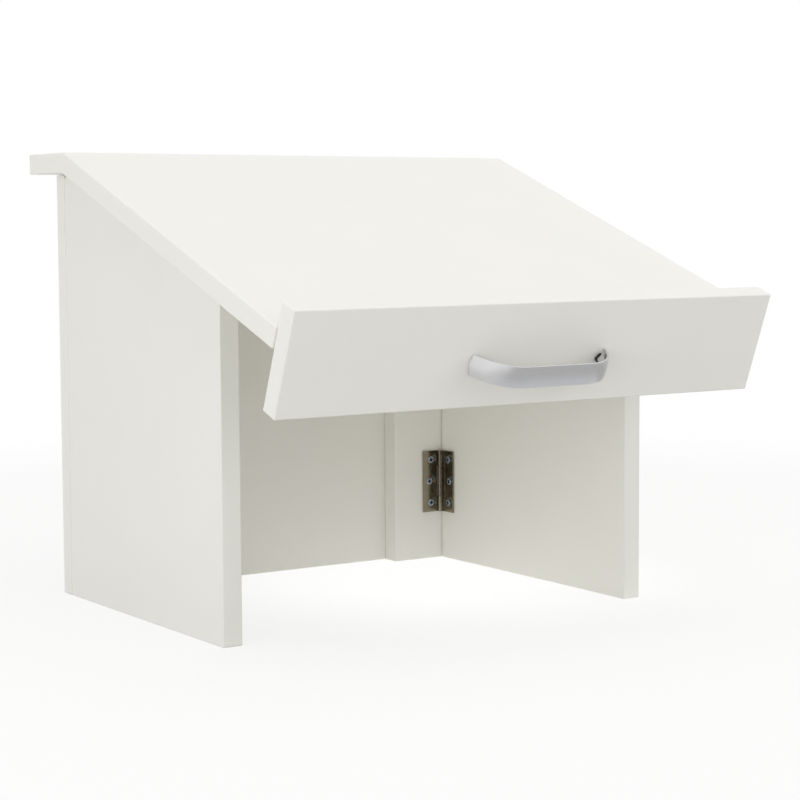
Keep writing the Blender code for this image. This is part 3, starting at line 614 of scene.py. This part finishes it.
def screwTree():
    # head from its top face at z = 0 down, threaded shank under it, cross recess cut into the crown;
    # each part starts at unit size and is then drawn to the given sizes
    tree = newTree("crossHeadScrew", hingeScrew)
    given = addNode(tree, "NodeGroupInput").outputs
    place = addNode(tree, "GeometryNodeInputPosition")
    split = addNode(tree, "ShaderNodeSeparateXYZ", {"Vector": place}).outputs

    # crown: a tube whose upper end turns in on a quarter round, closed by a flat face
    tube = addNode(tree, "GeometryNodeMeshCylinder", {
        "Vertices": given["sides"], "Side Segments": given["crownSteps"], "Radius": 1, "Depth": 1},
        fill_type="NONE")
    quarter = addNode(tree, "ShaderNodeMath", {0: split["Z"], 1: pi / 2, 2: pi / 4}, operation="MULTIPLY_ADD")
    turnIn = addNode(tree, "ShaderNodeMath", {0: quarter}, operation="COSINE")
    rise = addNode(tree, "ShaderNodeMath", {0: quarter}, operation="SINE")
    flat = addNode(tree, "ShaderNodeMath", {
        0: given["headRadius"], 1: given["crownInset"]}, operation="SUBTRACT")
    girth = addNode(tree, "ShaderNodeMath", {
        0: given["crownInset"], 1: turnIn, 2: flat}, operation="MULTIPLY_ADD")
    below = addNode(tree, "ShaderNodeMath", {0: rise, 1: 1}, operation="SUBTRACT")
    level = addNode(tree, "ShaderNodeMath", {0: below, 1: given["crownHeight"]}, operation="MULTIPLY")
    crown = addNode(tree, "GeometryNodeSetPosition", {"Geometry": tube, "Position": addNode(
        tree, "ShaderNodeVectorMath", {
            0: place, 1: addNode(tree, "ShaderNodeCombineXYZ", {"X": girth, "Y": girth}),
            2: addNode(tree, "ShaderNodeCombineXYZ", {"Z": level})}, operation="MULTIPLY_ADD")})
    face = addNode(tree, "GeometryNodeMeshCircle", {
        "Vertices": given["sides"], "Radius": flat}, fill_type="NGON")

    # underside: in to the shank on a cone, and closed there
    rim = addNode(tree, "ShaderNodeMath", {0: given["crownHeight"], 1: -1}, operation="MULTIPLY")
    neck = addNode(tree, "ShaderNodeMath", {0: rim, 1: given["coneDepth"]}, operation="SUBTRACT")
    cone = addNode(tree, "GeometryNodeMeshCone", {
        "Vertices": given["sides"], "Side Segments": 1, "Radius Top": given["shankRadius"],
        "Radius Bottom": given["headRadius"], "Depth": given["coneDepth"]}, fill_type="NONE")
    under = addNode(tree, "GeometryNodeTransform", {
        "Geometry": cone, "Rotation": (pi, 0, 0),
        "Translation": addNode(tree, "ShaderNodeCombineXYZ", {"Z": rim})})
    disc = addNode(tree, "GeometryNodeMeshCircle", {
        "Vertices": given["sides"], "Radius": given["shankRadius"]}, fill_type="NGON")
    base = addNode(tree, "GeometryNodeTransform", {
        "Geometry": disc, "Rotation": (pi, 0, 0),
        "Translation": addNode(tree, "ShaderNodeCombineXYZ", {"Z": neck})})
    parts = addNode(tree, "GeometryNodeJoinGeometry", {0: [crown, face, under, base]})
    head = addNode(tree, "GeometryNodeMergeByDistance", {"Geometry": parts, "Distance": weld})

    # cross recess, narrower towards its floor; its faces keep a mark so the material paints shade in it
    block = addNode(tree, "GeometryNodeMeshCube", {"Size": (1, 1, 2)})
    narrow = addNode(tree, "ShaderNodeMath", {
        0: split["Z"], 1: given["recessTaper"], 2: 1}, operation="MULTIPLY_ADD")
    span = addNode(tree, "ShaderNodeMath", {0: narrow, 1: given["recessSpan"]}, operation="MULTIPLY")
    slit = addNode(tree, "ShaderNodeMath", {0: narrow, 1: given["recessWidth"]}, operation="MULTIPLY")
    reach = addNode(tree, "ShaderNodeCombineXYZ", {"X": span, "Y": slit, "Z": given["recessDepth"]})
    wing = addNode(tree, "GeometryNodeSetPosition", {"Geometry": block, "Position": addNode(
        tree, "ShaderNodeVectorMath", {0: place, 1: reach}, operation="MULTIPLY")})
    marked = addNode(tree, "GeometryNodeStoreNamedAttribute", {
        "Geometry": wing, "Name": "recess", "Value": 1.0}, data_type="FLOAT", domain="FACE")
    across = addNode(tree, "GeometryNodeTransform", {"Geometry": marked, "Rotation": (0, 0, pi / 2)})
    cross = addNode(tree, "GeometryNodeMeshBoolean", {
        "Mesh 1": head, "Mesh 2": [marked, across]}, operation="DIFFERENCE", solver="EXACT")

    # shank with a rolled thread that runs out in the tip
    rod = addNode(tree, "GeometryNodeMeshCylinder", {
        "Vertices": given["threadSides"], "Side Segments": given["threadRows"], "Radius": 1, "Depth": 1},
        fill_type="NGON")
    share = addNode(tree, "ShaderNodeMath", {0: 0.5, 1: split["Z"]}, operation="SUBTRACT")
    depth = addNode(tree, "ShaderNodeMath", {0: share, 1: given["shankLength"]}, operation="MULTIPLY")
    turns = addNode(tree, "ShaderNodeMath", {0: depth, 1: given["threadPitch"]}, operation="DIVIDE")
    angle = addNode(tree, "ShaderNodeMath", {0: split["Y"], 1: split["X"]}, operation="ARCTAN2")
    lead = addNode(tree, "ShaderNodeMath", {0: angle, 1: -0.5 / pi, 2: turns}, operation="MULTIPLY_ADD")
    wave = addNode(tree, "ShaderNodeMath", {0: lead, 1: 0.5}, operation="PINGPONG")
    groove = addNode(tree, "ShaderNodeMath", {0: wave, 1: given["threadDepth"]}, operation="MULTIPLY")
    core = addNode(tree, "ShaderNodeMath", {
        0: groove, 1: -2, 2: given["shankRadius"]}, operation="MULTIPLY_ADD")
    tipFrom = addNode(tree, "ShaderNodeMath", {
        0: given["shankLength"], 1: given["tipLength"]}, operation="SUBTRACT")
    point = addNode(tree, "ShaderNodeMapRange", {
        "Value": depth, "From Min": tipFrom, "From Max": given["shankLength"],
        "To Min": 1, "To Max": given["tipShare"]})
    thick = addNode(tree, "ShaderNodeMath", {0: core, 1: point}, operation="MULTIPLY")
    sunk = addNode(tree, "ShaderNodeMath", {0: neck, 1: depth}, operation="SUBTRACT")
    shank = addNode(tree, "GeometryNodeSetPosition", {"Geometry": rod, "Position": addNode(
        tree, "ShaderNodeVectorMath", {
            0: place, 1: addNode(tree, "ShaderNodeCombineXYZ", {"X": thick, "Y": thick}),
            2: addNode(tree, "ShaderNodeCombineXYZ", {"Z": sunk})}, operation="MULTIPLY_ADD")})
    screw = addNode(tree, "GeometryNodeJoinGeometry", {0: [cross, shank]})

    # the recess stays at any angle, as a driver leaves it
    anyAngle = addNode(tree, "FunctionNodeRandomValue", {"Seed": given["seed"], 3: pi / 2}, data_type="FLOAT")
    spin = addNode(tree, "FunctionNodeEulerToRotation", {
        "Euler": addNode(tree, "ShaderNodeCombineXYZ", {"Z": anyAngle.outputs[1]})})
    plantOnPoints(tree, given, screw, spin)
    return tree


crossHead = screwTree()
for body in ("base", "left_side", "right_side"):
    places, nodes = [], []
    for stem in hingeStems:
        for kind in ("fixed", "moving"):
            if leafBody(stem, kind) == body:
                turn = leafTurns[stem.split("_")[0] + "_" + kind]
                places += screwSeats(hingeMiddle(stem) @ turn)
                nodes += [f"{stem}_{kind}_screw_{number}" for number in (1, 2, 3)]
    name = body.split("_")[0] + "HingeScrews"
    mesh = grown(name, crossHead, places, hingeScrew, zincMaterial, screwCrease)
    addPiece(name, mesh, zincMaterial, body, nodes)

places, nodes = [], []
for side in ("left", "right"):
    node = f"handle_screw_{side}"
    low, high = slopeBox(node)
    # the head stands on the ledge's inner face, with its top up the slope
    seat = Matrix.Translation(((low.x + high.x) / 2, high.y, (low.z + high.z) / 2))
    places.append(slopeFrame @ seat @ Matrix.Rotation(-pi / 2, 4, "X"))
    nodes.append(node)
handleScrew["shankLength"] = high.y - low.y - handleScrew["crownHeight"] - handleScrew["coneDepth"]
mesh = grown("handleScrews", crossHead, places, handleScrew, zincMaterial, screwCrease)
addPiece("handleScrews", mesh, zincMaterial, "top", nodes)
print("screws made")


dowel = dict(
    radius=4 * mm, length=30 * mm, chamfer=1.5 * mm, chamferInset=0.9 * mm,
    flutes=18, fluteSteps=4, fluteDepth=0.28 * mm,
)
dowelCrease = radians(50)


def dowelTree():
    # a fluted, chamfered dowel along z, about its middle; its grain coordinates stay with it
    tree = newTree("flutedDowel", dowel)
    given = addNode(tree, "NodeGroupInput").outputs
    place = addNode(tree, "GeometryNodeInputPosition")
    split = addNode(tree, "ShaderNodeSeparateXYZ", {"Vector": place}).outputs
    sides = addNode(tree, "ShaderNodeMath", {
        0: given["flutes"], 1: given["fluteSteps"]}, operation="MULTIPLY")
    rows = addNode(tree, "ShaderNodeMath", {0: given["length"], 1: given["chamfer"]}, operation="DIVIDE")
    rod = addNode(tree, "GeometryNodeMeshCylinder", {
        "Vertices": sides, "Side Segments": rows, "Radius": given["radius"], "Depth": given["length"]},
        fill_type="NGON")
    half = addNode(tree, "ShaderNodeMath", {0: given["length"], 1: 0.5}, operation="MULTIPLY")
    shoulder = addNode(tree, "ShaderNodeMath", {0: half, 1: given["chamfer"]}, operation="SUBTRACT")
    away = addNode(tree, "ShaderNodeMath", {0: split["Z"]}, operation="ABSOLUTE")
    ended = addNode(tree, "ShaderNodeMapRange", {
        "Value": away, "From Min": shoulder, "From Max": half, "To Min": 0, "To Max": given["chamferInset"]})
    angle = addNode(tree, "ShaderNodeMath", {0: split["Y"], 1: split["X"]}, operation="ARCTAN2")
    phase = addNode(tree, "ShaderNodeMath", {0: angle, 1: given["flutes"]}, operation="MULTIPLY")
    wave = addNode(tree, "ShaderNodeMath", {0: phase}, operation="COSINE")
    flute = addNode(tree, "ShaderNodeMath", {0: wave, 1: 0}, operation="MAXIMUM")
    loss = addNode(tree, "ShaderNodeMath", {
        0: flute, 1: given["fluteDepth"], 2: ended}, operation="MULTIPLY_ADD")
    lost = addNode(tree, "ShaderNodeMath", {0: loss, 1: given["radius"]}, operation="DIVIDE")
    girth = addNode(tree, "ShaderNodeMath", {0: 1, 1: lost}, operation="SUBTRACT")
    shaped = addNode(tree, "GeometryNodeSetPosition", {"Geometry": rod, "Position": addNode(
        tree, "ShaderNodeVectorMath", {0: place, 1: addNode(
            tree, "ShaderNodeCombineXYZ", {"X": girth, "Y": girth, "Z": 1})}, operation="MULTIPLY")})
    grain = addNode(tree, "GeometryNodeStoreNamedAttribute", {
        "Geometry": shaped, "Name": "grain", "Value": place}, data_type="FLOAT_VECTOR", domain="POINT")
    plantOnPoints(tree, given, grain)
    return tree


flutedDowel = dowelTree()
alongY = Matrix.Rotation(pi / 2, 4, "X")
dowelSets = {       # how many, on which body, and how they lie
    "batten_dowel": (3, "base", alongY),
    "locating_dowel": (2, "base", Matrix()),
    "mitre_dowel": (3, "top", Matrix.Rotation(slope / 2 - pi / 2, 4, "X")),
    "ledge_dowel": (3, "top", Matrix.Rotation(slope, 4, "X") @ alongY),
}
for stem, (count, body, turn) in dowelSets.items():
    nodes = [f"{stem}_{number}" for number in range(1, count + 1)]
    places = []
    for node in nodes:
        points = [turn.inverted() @ vert.co for vert in frame["nodes"][node].data.vertices]
        ends = [(min(axis), max(axis)) for axis in zip(*points)]
        middle = Vector([(low + high) / 2 for low, high in ends])
        places.append(Matrix.Translation(turn @ middle) @ turn)
    name = stem.split("_")[0] + "Dowels"
    sizes = {**dowel, "length": ends[2][1] - ends[2][0]}
    mesh = grown(name, flutedDowel, places, sizes, beechMaterial, dowelCrease)
    addPiece(name, mesh, beechMaterial, body, nodes)
print("dowels made")


# bow handle

handle = dict(
    thickness=2.5 * mm, crown=1.1 * mm, corner=0.55 * mm, cornerSteps=5, innerCorner=0.8,
    crownSteps=14, innerSteps=26, crease=radians(50),
    bend=34.5 * mm, lean=radians(28), legSteps=22, arcSteps=18, gripSteps=10,
    footLength=10.4 * mm, footTip=0.8 * mm, footBlend=2.2 * mm, footInset=0.95 * mm,
    touch=0.01 * mm, legTilt=0.01,             # what counts as the inner wall, and as a leg
    rootRound=2.2 * mm, rootCrowding=1.7,      # rounded corners at the roots, with closer rows there
    spacerWidth=8.6 * mm, spacerHeight=2 * mm, tipSteps=10,
    spacerSharp=radians(40), spacerEase=0.25 * mm, spacerSegments=3, spacerCrease=radians(35),
    recessGap=0.3 * mm, recessAhead=2 * mm, recessUnder=1 * mm,
)


def bandSection(width):
    # closed outline (a, b): a out of the bow's outer face, b across the band; the outer face is crowned
    half, corner, steps = width / 2, handle["corner"], handle["cornerSteps"]
    flat = half - corner
    outer = []
    for i in range(handle["crownSteps"] + 1):
        b = -flat + 2 * flat * i / handle["crownSteps"]
        outer.append((-handle["crown"] * (b / half) ** 2, b))
    edge = outer[-1][0] - corner
    turns = [pi / 2 * i / steps for i in range(1, steps + 1)]
    upOuter = [(edge + corner * cos(t), flat + corner * sin(t)) for t in turns]
    inner = -handle["thickness"]
    small = min(corner, (edge - inner) * handle["innerCorner"])
    upInner = [(inner + small - small * sin(t), half - small + small * cos(t)) for t in [0] + turns]
    upper = upOuter + upInner
    lower = [(a, -b) for a, b in upper[::-1]]
    across = handle["innerSteps"]        # closer together towards the edges, where the foot's flanks start
    inside = [(inner, (half - small) * cos(pi * i / across)) for i in range(1, across)]
    return outer + upper + inside + lower


def bandPath(length, out):
    # stations along the outer face, right root to left root: point, outward normal, and how far the
    # section stands square to the path; at the root it lies in the plane of the ledge's face
    half, bend, lean = length / 2, handle["bend"], handle["lean"]
    centreOut = out - bend
    centreX = half - (bend + centreOut * sin(lean)) / cos(lean)
    start = Vector((centreX + bend * cos(lean), centreOut + bend * sin(lean)))
    root = Vector((half, 0))
    legNormal = Vector((cos(lean), sin(lean)))
    shares = [(i / handle["legSteps"]) ** handle["rootCrowding"] for i in range(handle["legSteps"])]
    stations = [(root.lerp(start, share), legNormal, share) for share in shares]
    for i in range(handle["arcSteps"] + 1):
        turn = lean + (pi / 2 - lean) * i / handle["arcSteps"]
        normal = Vector((cos(turn), sin(turn)))
        stations.append((Vector((centreX, centreOut)) + bend * normal, normal, 1))
    left = [(Vector((-p.x, p.y)), Vector((-n.x, n.y)), share) for p, n, share in stations[::-1]]
    grip = [(Vector((centreX - 2 * centreX * i / handle["gripSteps"], out)), Vector((0, 1)), 1)
            for i in range(1, handle["gripSteps"])]
    return stations + grip + left


def footReach(length, b):
    # how far from the handle's middle the foot's flank stands, at b across the band
    tip = handle["footTip"]
    return length / 2 - handle["footLength"] - tip + (b * b + tip * tip) ** 0.5


def blended(first, second, blend):
    # the lesser of two lengths, with a round transition where they are close
    share = min(1, max(0, 0.5 + (second - first) / (2 * blend)))
    return second + (first - second) * share - blend * share * (1 - share)


def bandBody(length, out, width):
    # the band swept along its path; inside the legs it runs out to the pointed feet
    section = bandSection(width)
    stations = bandPath(length, out)
    legLength = (stations[handle["legSteps"]][0] - stations[0][0]).length
    wall = handle["thickness"] - handle["touch"]
    bm = bmesh.new()
    rows, travel, distance = [], [], 0
    for i, (point, normal, share) in enumerate(stations):
        if i:
            distance += (point - stations[i - 1][0]).length
        travel.append(distance)
        row = []
        near = max(0, handle["rootRound"] - share * legLength) if share < 1 else 0
        narrow = 1 - (handle["rootRound"] - (handle["rootRound"] ** 2 - near ** 2) ** 0.5) / (width / 2)
        for a, b in section:
            b *= narrow
            spot = point + a * normal
            if share < 1:
                along = Vector((-normal.y if normal.x > 0 else normal.y, abs(normal.x)))
                spot -= along * (1 - share) * (spot.y - point.y) / along.y
            if a < -wall and abs(normal.x) > handle["legTilt"]:
                flank = footReach(length, b) + handle["footInset"]       # the spacer's tip looks out under it
                spot.x = copysign(blended(abs(spot.x), flank, handle["footBlend"]), spot.x)
            row.append(bm.verts.new((spot.x, spot.y, b)))
        rows.append(row)
    girth = [0]
    for (a1, b1), (a2, b2) in zip(section, section[1:] + section[:1]):
        girth.append(girth[-1] + ((a2 - a1) ** 2 + (b2 - b1) ** 2) ** 0.5)
    band = bm.loops.layers.uv.new("band")
    count = len(section)
    for i in range(len(rows) - 1):
        for k in range(count):
            n = (k + 1) % count
            quad = bm.faces.new((rows[i][k], rows[i + 1][k], rows[i + 1][n], rows[i][n]))
            corners = ((i, k), (i + 1, k), (i + 1, k + 1), (i, k + 1))
            for loop, (row, across) in zip(quad.loops, corners):
                loop[band].uv = (travel[row], girth[across])
            quad.smooth = True
    bm.faces.new(rows[0])
    bm.faces.new(rows[-1][::-1])
    bmesh.ops.recalc_face_normals(bm, faces=bm.faces)
    return bm


def spacerBody(length, wide, end):
    # a block on the ledge with the foot's own tip and straight sides from there to x = end
    steps = handle["tipSteps"]
    rim = [wide * (1 - 2 * i / steps) for i in range(steps + 1)]
    outline = [(footReach(length, b), b) for b in rim] + [(end, -wide), (end, wide)]
    bm = prism([[(x, y, z) for x, z in outline] for y in (0, handle["spacerHeight"])])
    easeEdges(bm, handle["spacerSharp"], handle["spacerEase"], handle["spacerSegments"])
    return bm


def makeHandle():
    low, high = slopeBox("pull_handle")
    length, out, width = high - low
    # x along the ledge, y out of its front face, the origin in the handle's middle on the face
    place = slopeFrame @ Matrix.Translation((0, high.y, (low.z + high.z) / 2)) @ Matrix.Rotation(pi, 4, "X")
    end = slopeBox("handle_spacer_right")[1].x
    gap, wide = handle["recessGap"], handle["spacerWidth"] / 2
    front, under = length / 2 - handle["footLength"] - handle["recessAhead"], handle["recessUnder"]
    size = (end + gap - front, handle["spacerHeight"] + gap + under, 2 * (wide + gap))
    middle = Matrix.Translation((front + size[0] / 2, size[1] / 2 - under, 0))
    cuts, spacers = [], bmesh.new()
    for turn in (0, pi):
        recess = bmesh.new()
        bmesh.ops.create_cube(recess, size=1, matrix=middle @ Matrix.Diagonal((*size, 1)))
        spacer = spacerBody(length, wide, end)
        for bm in (recess, spacer):
            bmesh.ops.rotate(bm, matrix=Matrix.Rotation(turn, 3, "Y"), verts=bm.verts)
        cuts.append(("DIFFERENCE", recess))
        spacers.from_mesh(meshFrom(spacer, "spacer"))
    mesh = booleans(meshFrom(bandBody(length, out, width), "band"), cuts)
    mesh.set_sharp_from_angle(angle=handle["crease"])
    mesh.transform(place)
    addPiece("pullHandle", mesh, aluminiumMaterial, "top", ["pull_handle"])
    for face in spacers.faces:
        face.smooth = True
    mesh = meshFrom(spacers, "spacers")
    mesh.set_sharp_from_angle(angle=handle["spacerCrease"])
    mesh.transform(place)
    addPiece("handleSpacers", mesh, plasticMaterial, "top",
             ["handle_spacer_left", "handle_spacer_right"])


makeHandle()
print("handle made")


# floor, light and camera

def seenDirectly(tree):
    # 1 for what the camera, metal or glass looks at, 0 where light only passes on
    rays = addNode(tree, "ShaderNodeLightPath").outputs
    direct = addNode(tree, "ShaderNodeMath", {
        0: rays["Is Camera Ray"], 1: rays["Is Glossy Ray"]}, operation="ADD")
    return addNode(tree, "ShaderNodeMath", {
        0: direct, 1: rays["Is Transmission Ray"]}, operation="ADD", use_clamp=True)


floor = dict(
    radius=4.0, sides=96, colour="#CFCFCC", seenColour="#F6F6F4",
    middle=(0.1, -0.12, 0),
    glow=0.56,                     # painted light: the paper glows under the desk, lighting the inside and paling the shadow there
    glowFrom=0.06, glowTo=0.31,    # where the lit field ends
    keep=0.78,                     # how white it looks near the desk, before its own shading
    fadeFrom=0.7, fadeTo=1.5,      # from here on it fades into the white backdrop
)


def makeFloor():
    # matt white studio paper; seen directly it fades to the white backdrop but keeps the soft shadow, which a
    # painted glow under the desk pales
    bm = bmesh.new()
    bmesh.ops.create_circle(bm, cap_ends=True, segments=floor["sides"], radius=floor["radius"])
    bmesh.ops.translate(bm, vec=floor["middle"], verts=bm.verts)
    ground = newObject("studioFloor", meshFrom(bm, "studioFloor"))
    material, tree = newMaterial("matt studio paper")
    place = addNode(tree, "ShaderNodeTexCoord").outputs["Object"]
    middle = addNode(tree, "ShaderNodeVectorMath", {0: place, 1: floor["middle"]}, operation="SUBTRACT")
    reach = addNode(tree, "ShaderNodeVectorMath", {0: middle}, operation="LENGTH").outputs["Value"]
    fade = addNode(tree, "ShaderNodeMapRange", {
        "Value": reach, "From Min": floor["fadeFrom"], "From Max": floor["fadeTo"],
        "To Min": floor["keep"], "To Max": 1}, interpolation_type="SMOOTHSTEP")
    seen = seenDirectly(tree)
    white = addNode(tree, "ShaderNodeMath", {0: fade, 1: seen}, operation="MULTIPLY")
    tone = addNode(tree, "ShaderNodeMix", {
        0: seen, 6: linear(floor["colour"]), 7: linear(floor["seenColour"])}, data_type="RGBA")
    paper = addNode(tree, "ShaderNodeBsdfDiffuse", {"Color": tone.outputs[2]})
    field = addNode(tree, "ShaderNodeMapRange", {
        "Value": reach, "From Min": floor["glowFrom"], "From Max": floor["glowTo"],
        "To Min": floor["glow"], "To Max": 0}, interpolation_type="SMOOTHSTEP", name="lightField")
    # painted light: an emission in the floor under the desk, seen by the desk and partly by the camera
    paintedGlow = addNode(tree, "ShaderNodeEmission", {"Color": (1, 1, 1, 1), "Strength": field})
    lit = addNode(tree, "ShaderNodeAddShader", {0: paper, 1: paintedGlow})
    backdrop = addNode(tree, "ShaderNodeEmission", {"Color": (1, 1, 1, 1), "Strength": 1})
    mixed = addNode(tree, "ShaderNodeMixShader", {0: white, 1: lit, 2: backdrop})
    clear = addNode(tree, "ShaderNodeBsdfTransparent")
    under = addNode(tree, "ShaderNodeNewGeometry").outputs["Backfacing"]
    shown = addNode(tree, "ShaderNodeMixShader", {0: under, 1: mixed, 2: clear})
    addNode(tree, "ShaderNodeOutputMaterial", {"Surface": shown})
    ground.data.materials.append(material)


makeFloor()

# grey cards round the desk and in its opening, as painted reflections: only metal and gloss show them, and
# they cast no light or shadow
lift = 2 * mm          # over the floor
cards = dict(          # two opposite corners and the colour
    nearCard=((-0.22, -0.64, lift), (0.4, -0.47, lift), "#D2D3D6"),
    frontCard=((-0.22, -2.2, lift), (0.4, -0.64, lift), "#C0C0C0"),
    rightCard=((0.4, -2.2, lift), (2.2, 1.2, lift), "#B9B9B9"),
    leftCard=((-0.5, -1.0, lift), (-0.22, 0.1, lift), "#DADADA"),
    # the dark card across the opening paints a dark reflection in the hinges
    openingCard=((-0.19, -0.33, lift), (0.186, -0.33, 0.1), "#5A5956"),
)


def makeCard(name):
    low, high, colour = cards[name]
    corners = [low, (high[0], *low[1:]), high, (low[0], *high[1:])]
    mesh = bpy.data.meshes.new(name)
    mesh.from_pydata(corners, [], [(0, 1, 2, 3)])
    material, tree = newMaterial("matt card")
    shade = addNode(tree, "ShaderNodeEmission", {"Color": linear(colour), "Strength": 1})
    addNode(tree, "ShaderNodeOutputMaterial", {"Surface": shade})
    mesh.materials.append(material)
    card = newObject(name, mesh)
    card.visible_camera = card.visible_diffuse = card.visible_transmission = card.visible_shadow = False


for name in cards:
    makeCard(name)

studio = dict(
    ambient=0.63,       # even light from the white room
    bounces=8,          # white boards facing each other pass light on many times
    lamps=dict(         # where, what it looks at, size in metres, radiance
        topBox=((0.0, -0.6, 2.4), (0.0, -0.2, 0.3), (2.6, 2.6), 0.78),
        rightBox=((1.9, -2.0, 0.9), (0.0, -0.2, 0.2), (1.6, 1.6), 1.65),
        sideBox=((-2.0, -1.05, 0.38), (0.15, -0.2, 0.15), (1.8, 0.66), 3.3),
    ),
)


def makeLight():
    world = bpy.data.worlds.new("white room")
    scene.world = world
    world.use_nodes = True
    tree = world.node_tree
    tree.nodes.clear()
    room = addNode(tree, "ShaderNodeBackground", {
        "Color": (1, 1, 1, 1), "Strength": studio["ambient"]}, name="room")
    backdrop = addNode(tree, "ShaderNodeBackground", {"Color": (1, 1, 1, 1), "Strength": 1})
    seen = seenDirectly(tree)
    mixed = addNode(tree, "ShaderNodeMixShader", {0: seen, 1: room, 2: backdrop})
    addNode(tree, "ShaderNodeOutputWorld", {"Surface": mixed})
    for name, (spot, aim, (wide, tall), radiance) in studio["lamps"].items():
        lamp = bpy.data.lights.new(name, "AREA")
        lamp.shape = "RECTANGLE"
        lamp.size, lamp.size_y = wide, tall
        lamp.energy = radiance * pi * wide * tall      # watts for this radiance
        placed = newObject(name, lamp)
        placed.location = spot
        placed.rotation_euler = (Vector(aim) - Vector(spot)).to_track_quat("-Z", "Y").to_euler()
        placed.visible_camera = placed.visible_glossy = False      # metal shows the room and the cards


makeLight()

view = dict(
    spot=(-1.00056, -1.74402, 0.34544), lens=93.46, sensor=36, clipEnd=50,
    yaw=radians(33.63), pitch=radians(5.07), roll=radians(-0.28),
)


def makeCamera():
    camera = bpy.data.cameras.new("photoCamera")
    camera.lens, camera.sensor_width = view["lens"], view["sensor"]
    camera.clip_end = view["clipEnd"]
    turn = Matrix.Rotation(-view["yaw"], 4, "Z") @ Matrix.Rotation(pi / 2 - view["pitch"], 4, "X")
    placed = newObject("photoCamera", camera)
    placed.matrix_world = Matrix.Translation(view["spot"]) @ turn @ Matrix.Rotation(view["roll"], 4, "Z")
    scene.camera = placed


makeCamera()
scene.view_settings.view_transform = "Standard"
scene.cycles.diffuse_bounces = studio["bounces"]
print("floor, light and camera made")
